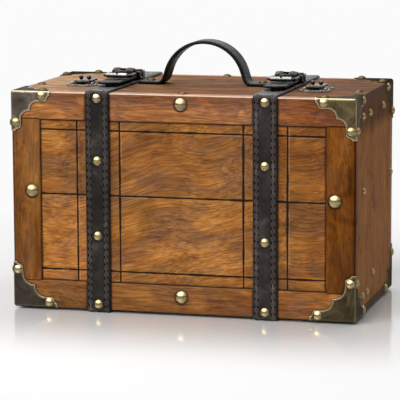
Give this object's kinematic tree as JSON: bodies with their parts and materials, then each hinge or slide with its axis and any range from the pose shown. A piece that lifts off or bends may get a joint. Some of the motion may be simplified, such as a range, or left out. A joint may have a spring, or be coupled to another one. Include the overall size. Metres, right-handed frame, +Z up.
{
  "type": "sea chest",
  "caption": "Small wooden sea chest standing on its long edge, with a framed hinged front, leather straps with roller buckles, hasp latches, metal corners and a leather carry handle.",
  "frame": {"origin": "centre of the footprint, on the plane of the strap undersides that the chest stands on", "axes": "+X along the width to the viewer's right, -Y out of the framed front, +Z up through the handle"},
  "size_m": [0.4076, 0.2316, 0.304],
  "materials": {
    "front_wood": "oiled honey-brown timber with a strong horizontal figure",
    "case_wood": "darker stained timber, satin",
    "leather": "black strap leather with two stitched rows along each edge",
    "nail_brass": "antique brass, polished domes",
    "bracket_bronze": "dark patinated bronze sheet with worn bright rims",
    "black_metal": "blackened metal with a bronze cast",
    "roller_steel": "plain bright steel"
  },
  "bodies": {
    "base": {"base_top_board": "case_wood", "base_bottom_board": "case_wood", "base_left_board": "case_wood", "base_right_board": "case_wood", "base_back_board": "case_wood", "base_strap_left": "leather", "base_strap_right": "leather", "carry_handle": "leather", "base_bracket_top_left": "bracket_bronze", "base_bracket_top_right": "bracket_bronze", "base_bracket_bottom_left": "bracket_bronze", "base_bracket_bottom_right": "bracket_bronze", "base_dome_nails": "nail_brass", "hinge_leaf_base_left": "black_metal", "hinge_leaf_base_right": "black_metal", "hinge_pins": "black_metal", "latch_catch_left": "black_metal", "latch_catch_right": "black_metal", "strap_bar_left": "black_metal", "strap_bar_right": "black_metal"},
    "lid": {"lid_top_board": "case_wood", "lid_bottom_board": "case_wood", "lid_left_board": "case_wood", "lid_right_board": "case_wood", "lid_front_panel": "front_wood", "lid_top_rail": "front_wood", "lid_bottom_rail": "front_wood", "lid_left_stile": "front_wood", "lid_right_stile": "front_wood", "lid_strap_left": "leather", "lid_strap_right": "leather", "lid_bracket_top_left": "bracket_bronze", "lid_bracket_top_right": "bracket_bronze", "lid_bracket_bottom_left": "bracket_bronze", "lid_bracket_bottom_right": "bracket_bronze", "lid_dome_nails": "nail_brass", "lid_frame_nails": "nail_brass", "hinge_leaf_lid_left": "black_metal", "hinge_leaf_lid_right": "black_metal", "latch_plate_left": "black_metal", "latch_plate_right": "black_metal", "latch_pins": "black_metal", "lid_snaps": "roller_steel"},
    "hasp_left": {"latch_hasp_left": "black_metal"},
    "closing_left": {"closing_strap_left": "leather", "closing_snap_left": "roller_steel", "buckle_frame_left": "black_metal", "buckle_chape_left": "leather", "keeper_loop_left": "leather"},
    "roller_left": {"buckle_roller_left": "roller_steel"},
    "prong_left": {"buckle_prong_left": "black_metal"},
    "hasp_right": {"latch_hasp_right": "black_metal"},
    "closing_right": {"closing_strap_right": "leather", "closing_snap_right": "roller_steel", "buckle_frame_right": "black_metal", "buckle_chape_right": "leather", "keeper_loop_right": "leather"},
    "roller_right": {"buckle_roller_right": "roller_steel"},
    "prong_right": {"buckle_prong_right": "black_metal"}
  },
  "joints": [
    {"name": "lid_hinge", "type": "hinge", "parent": "base", "child": "lid", "pos_m": [0, -0.022, 0.003], "axis": [1, 0, 0], "range_deg": [0, 110]},
    {"name": "hasp_left_swing", "type": "hinge", "parent": "lid", "child": "hasp_left", "pos_m": [-0.138, -0.039, 0.2562], "axis": [1, 0, 0], "range_deg": [0, 150]},
    {"name": "closing_left_lift", "type": "hinge", "parent": "base", "child": "closing_left", "pos_m": [-0.0975, 0.026, 0.26185], "axis": [-1, 0, 0], "range_deg": [0, 120]},
    {"name": "roller_left_spin", "type": "hinge", "parent": "closing_left", "child": "roller_left", "pos_m": [-0.0975, -0.034, 0.2641], "axis": [1, 0, 0], "continuous": true},
    {"name": "prong_left_lift", "type": "hinge", "parent": "closing_left", "child": "prong_left", "pos_m": [-0.0975, -0.01, 0.2641], "axis": [-1, 0, 0], "range_deg": [0, 100]},
    {"name": "hasp_right_swing", "type": "hinge", "parent": "lid", "child": "hasp_right", "pos_m": [0.138, -0.039, 0.2562], "axis": [1, 0, 0], "range_deg": [0, 150]},
    {"name": "closing_right_lift", "type": "hinge", "parent": "base", "child": "closing_right", "pos_m": [0.0975, 0.026, 0.26185], "axis": [-1, 0, 0], "range_deg": [0, 120]},
    {"name": "roller_right_spin", "type": "hinge", "parent": "closing_right", "child": "roller_right", "pos_m": [0.0975, -0.034, 0.2641], "axis": [1, 0, 0], "continuous": true},
    {"name": "prong_right_lift", "type": "hinge", "parent": "closing_right", "child": "prong_right", "pos_m": [0.0975, -0.01, 0.2641], "axis": [-1, 0, 0], "range_deg": [0, 100]}
  ]
}
